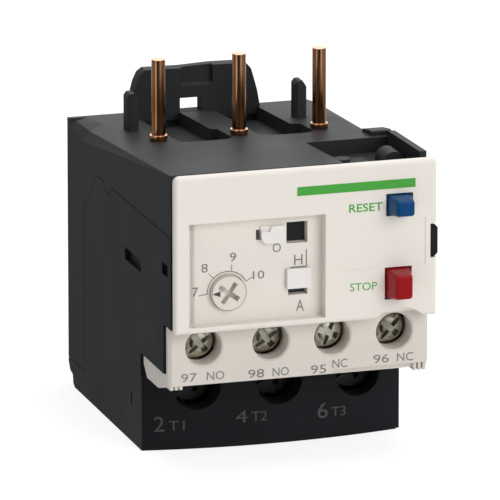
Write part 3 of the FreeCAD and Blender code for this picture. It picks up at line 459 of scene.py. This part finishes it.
def stroke(name, points, width, node, mat, body="case"):
    """Line of even width, for print and for painted shadow, through points given as x and z in millimetres.
    """
    path = [Vector((x, z)) for x, z in points]
    count = len(path)
    sides = []
    for k, p in enumerate(path):
        along = path[min(k + 1, count - 1)] - path[max(k - 1, 0)]
        across = Vector((-along.y, along.x)).normalized() * width / 2
        sides.append((p + across, p - across))
    verts, faces = [], []
    for left, right in sides:
        for q in (left, right):
            place = at(q.x, 0, q.y)
            verts.append((place.x, 0.0, place.z))
            verts.append((place.x, PRINT_DEPTH, place.z))
    for k in range(count - 1):
        a, b = 4 * k, 4 * k + 4
        faces.append((a, a + 2, b + 2, b))
        faces.append((a + 1, b + 1, b + 3, a + 3))
        faces.append((a, b, b + 1, a + 1))
        faces.append((a + 2, a + 3, b + 3, b + 2))
    faces.append((0, 1, 3, 2))
    last = 4 * (count - 1)
    faces.append((last, last + 2, last + 3, last + 1))
    mesh = bpy.data.meshes.new(name)
    mesh.from_pydata(verts, [], faces)
    lay_mesh(name, mesh, node, mat, body)


def arc(centre, r, start, end, steps):
    """Points on an arc; the angles are in degrees, counted from the right."""
    angles = [math.radians(start + (end - start) * k / steps) for k in range(steps + 1)]
    return [(centre[0] + r * math.cos(a), centre[1] + r * math.sin(a)) for a in angles]


def panel_marks():
    """Green line and the buttons' names on the front cover."""
    stroke("stripe", [(21.2, 47.27), (41.5, 47.3)], 1.5, "front_cover", GREEN)
    word("word_reset", "RESET", (30.1, 43.0, 35.85, 44.4), "front_cover", GREEN, weight=0.01)
    word("word_stop", "STOP", (30.3, 29.65, 34.95, 31.0), "front_cover", GREEN)


def dial_marks():
    """Scale round the dial, letters by the selector, painted shadow lines along the selector's slot, and the
    dial's own rim and pointer.
    """
    scale = arc(DIAL_CENTRE, DIAL_R + 0.5, 181, 27, 40)
    stroke("dial_scale", [(5.0, 30.45)] + scale + [(14.15, 32.95)], 0.14, "front_cover", INK_AND_PAINTED_SHADE)
    ticks = (("tick_8", [(6.65, 34.15), (7.4, 33.3)]), ("tick_9", [(10.65, 35.35), (10.6, 34.3)]))
    for name, points in ticks:
        stroke("dial_" + name, points, 0.13, "front_cover", INK_AND_PAINTED_SHADE)
    word("dial_number_7", "7", (3.9, 30.4, 4.9, 31.9), "front_cover", INK_AND_PAINTED_SHADE)
    word("dial_number_8", "8", (5.45, 34.3, 6.55, 35.8), "front_cover", INK_AND_PAINTED_SHADE)
    word("dial_number_9", "9", (10.3, 35.8, 11.4, 37.3), "front_cover", INK_AND_PAINTED_SHADE)
    word("dial_number_10", "10", (14.25, 32.5, 16.2, 33.9), "front_cover", INK_AND_PAINTED_SHADE)
    word("mark_off", "O", (17.6, 36.8, 19.05, 38.3), "front_cover", INK_AND_PAINTED_SHADE)
    # painted shadow lines: the shade at the right side of the selector's slot and in the gap above the
    # slider
    stroke("selector_slot_shadow_side", [(23.4, 36.9), (23.4, 33.95)], 0.18, "front_cover", INK_AND_PAINTED_SHADE)
    stroke("selector_slot_shadow_top", [(20.7, 33.95), (23.4, 33.95)], 0.26, "front_cover", DARK_INK_AND_PAINTED_SHADE)
    word("mark_hand", "H", (21.3, 34.4, 22.75, 36.1), "front_cover", INK_AND_PAINTED_SHADE)
    word("mark_auto", "A", (21.65, 26.5, 23.0, 28.45), "front_cover", INK_AND_PAINTED_SHADE)
    stroke("dial_rim", arc(DIAL_CENTRE, DIAL_R - 0.07, 0, 360, 48), 0.09, "setting_dial", INK_AND_PAINTED_SHADE, "dial")
    cx, cz = DIAL_CENTRE
    pointer = [(cx - 2.85, cz), (cx - 1.5, cz + 0.5), (cx - 1.5, cz - 0.5)]
    mesh = bpy.data.meshes.new("dial_pointer")
    verts = [at(x, 0, z) for x, z in pointer]
    mesh.from_pydata([(v.x, 0.0, v.z) for v in verts] + [(v.x, PRINT_DEPTH, v.z) for v in verts], [],
                     [(0, 2, 1), (3, 4, 5), (0, 1, 4, 3), (1, 2, 5, 4), (2, 0, 3, 5)])
    lay_mesh("dial_pointer", mesh, "setting_dial", DARK_INK_AND_PAINTED_SHADE, "dial")


def strip_marks():
    """Numbers and contact kinds below the four control screws; one kind sits a little higher."""
    for number, kind, x0, z0, x1, x2, x3 in (("97", "NO", 2.5, 15.45, 5.2, 6.9, 9.9),
                                             ("98", "NO", 14.0, 15.2, 16.75, 18.2, 21.0),
                                             ("95", "NC", 24.8, 15.05, 27.45, 28.5, 31.1),
                                             ("96", "NC", 35.6, 15.95, 38.3, 39.7, 42.5)):
        word("terminal_" + number, number, (x0, z0, x1, z0 + 1.45), "terminal_strip", INK_AND_PAINTED_SHADE)
        lift = 0.7 if number == "95" else 0.0
        word("kind_" + number, kind, (x2, z0 + lift, x3, z0 + lift + 1.45), "terminal_strip", INK_AND_PAINTED_SHADE)


def base_marks():
    """Pole numbers and their outgoing names on the terminal base."""
    for k, number, size, x0, z0, x1, x2, x3 in ((1, "2", 2.6, 1.97, 3.2, 3.7, 4.4, 7.1),
                                                (2, "4", 2.1, 15.67, 4.0, 17.65, 18.4, 21.1),
                                                (3, "6", 2.7, 29.95, 3.5, 31.8, 32.45, 35.0)):
        word("pole_%d" % k, number, (x0, z0, x1, z0 + size), "lower_housing", GREY_INK)
        word("pole_%d_out" % k, "T%d" % k, (x2, z0 + 0.1, x3, z0 + 1.75), "lower_housing", GREY_INK)


# Floor, lights and camera
def make_world():
    """Soft even light; the camera sees plain white, and gloss sees a room with bright and dark sides."""
    world = bpy.data.worlds.new("studio")
    bpy.context.scene.world = world
    world.use_nodes = True
    nodes, links = world.node_tree.nodes, world.node_tree.links
    light = nodes["Background"]
    light.inputs["Color"].default_value = (0.97, 0.98, 1.0, 1.0)
    light.inputs["Strength"].default_value = WORLD_LIGHT
    path = nodes.new("ShaderNodeLightPath")
    where = nodes.new("ShaderNodeTexCoord")
    parts = nodes.new("ShaderNodeSeparateXYZ")
    links.new(where.outputs["Generated"], parts.inputs[0])
    around = nodes.new("ShaderNodeTexGradient")
    around.gradient_type = "RADIAL"
    links.new(where.outputs["Generated"], around.inputs["Vector"])
    room = nodes.new("ShaderNodeValToRGB")
    while len(room.color_ramp.elements) < len(ROOM):
        room.color_ramp.elements.new(0.5)
    for element, (position, level) in zip(room.color_ramp.elements, ROOM):
        element.position = position
        element.color = (level, level, level, 1.0)
    links.new(around.outputs["Fac"], room.inputs["Fac"])
    gloss = nodes.new("ShaderNodeBackground")
    links.new(room.outputs["Color"], gloss.inputs["Color"])
    height = nodes.new("ShaderNodeMapRange")
    height.inputs["From Min"].default_value = -0.15
    height.inputs["From Max"].default_value = 0.20
    height.inputs["To Min"].default_value = GLOSS_LOW
    height.inputs["To Max"].default_value = GLOSS_HIGH
    links.new(parts.outputs["Z"], height.inputs["Value"])
    links.new(height.outputs["Result"], gloss.inputs["Strength"])
    shine = nodes.new("ShaderNodeMixShader")
    links.new(path.outputs["Is Glossy Ray"], shine.inputs["Fac"])
    links.new(light.outputs[0], shine.inputs[1])
    links.new(gloss.outputs[0], shine.inputs[2])
    either = nodes.new("ShaderNodeMath")
    either.operation = "MAXIMUM"
    links.new(path.outputs["Is Camera Ray"], either.inputs[0])
    links.new(path.outputs["Is Transmission Ray"], either.inputs[1])
    plain = nodes.new("ShaderNodeBackground")
    plain.inputs["Color"].default_value = (1, 1, 1, 1)
    plain.inputs["Strength"].default_value = 1.0
    mix = nodes.new("ShaderNodeMixShader")
    links.new(either.outputs[0], mix.inputs["Fac"])
    links.new(shine.outputs[0], mix.inputs[1])
    links.new(plain.outputs[0], mix.inputs[2])
    links.new(mix.outputs[0], nodes["World Output"].inputs["Surface"])


def make_floor():
    """Plain pale floor that the camera sees as nearly white, with the object's shadow left faint."""
    bpy.ops.mesh.primitive_plane_add(size=6.0, location=(0, 0, -FLOOR_DROP))
    floor = bpy.context.object
    floor.name = "floor"
    mat, shader = new_material("floor", (0.90, 0.90, 0.90), 0.9)
    shader.inputs["Specular IOR Level"].default_value = 0.0
    shader.inputs["Emission Color"].default_value = (1, 1, 1, 1)
    nodes, links = mat.node_tree.nodes, mat.node_tree.links
    path = nodes.new("ShaderNodeLightPath")
    links.new(ramp(mat, path.outputs["Is Camera Ray"], (0.9, 0.9, 0.9), (0.36, 0.36, 0.36), 0.0, 1.0),
              shader.inputs["Base Color"])
    glow = nodes.new("ShaderNodeMapRange")
    glow.inputs["To Max"].default_value = 0.78
    links.new(path.outputs["Is Camera Ray"], glow.inputs["Value"])
    links.new(glow.outputs["Result"], shader.inputs["Emission Strength"])
    floor.data.materials.append(mat)
    floor.visible_glossy = False


def area_light(name, place, size, power, in_gloss=True):
    """Square lamp that shines at the middle of the object."""
    data = bpy.data.lights.new(name, "AREA")
    data.shape = "RECTANGLE"
    data.size = size
    data.size_y = size
    data.energy = power
    lamp = bpy.data.objects.new(name, data)
    bpy.context.scene.collection.objects.link(lamp)
    lamp.location = place
    lamp.visible_glossy = in_gloss
    lamp.rotation_euler = (MIDDLE - Vector(place)).to_track_quat("-Z", "Y").to_euler()


def make_camera():
    """Camera fitted to the photograph."""
    data = bpy.data.cameras.new("camera")
    camera = bpy.data.objects.new("camera", data)
    bpy.context.scene.collection.objects.link(camera)
    data.sensor_width = 36.0
    data.lens = LENS
    data.clip_start = 0.05
    data.clip_end = 20.0
    camera.location = CAMERA_PLACE
    camera.rotation_euler = (CAMERA_TARGET - CAMERA_PLACE).to_track_quat("-Z", "Y").to_euler()
    bpy.context.scene.camera = camera


# the whole model, in the order in which its pieces are made
for node_name, edge_width in (("front_cover", 0.22), ("terminal_strip", 0.2), ("upper_housing", 0.3),
                              ("lower_housing", 0.25), ("test_tab", 0.12), ("mode_selector", 0.12),
                              ("window_cover", 0.1)):
    soften(node_name, edge_width)
for k in (1, 2, 3):
    soften("power_pin_%d" % k, 0.28, angle=40.0, segments=3)
button("reset", (38.8, 43.8), (4.4, 3.5), (3.0, 2.6), BLUE)
button("stop", (38.6, 30.5), (4.4, 5.2), (2.8, 4.0), RED)
for number, x, angle in (("97", 6.4, -38), ("98", 17.9, -33), ("95", 28.5, -68), ("96", 39.2, -47)):
    control_screw(number, x, angle)
    hole_lining(number, x)
coil_spring("reset_spring", "reset")
coil_spring("stop_spring", "stop")
panel_marks()
dial_marks()
strip_marks()
base_marks()
make_world()
make_floor()
area_light("key", (0.45, -0.95, 0.50), 0.7, 6.3, in_gloss=False)
area_light("top", (0.05, 0.15, 1.0), 0.8, 6.0)
make_camera()
bpy.context.scene.view_settings.view_transform = "Standard"
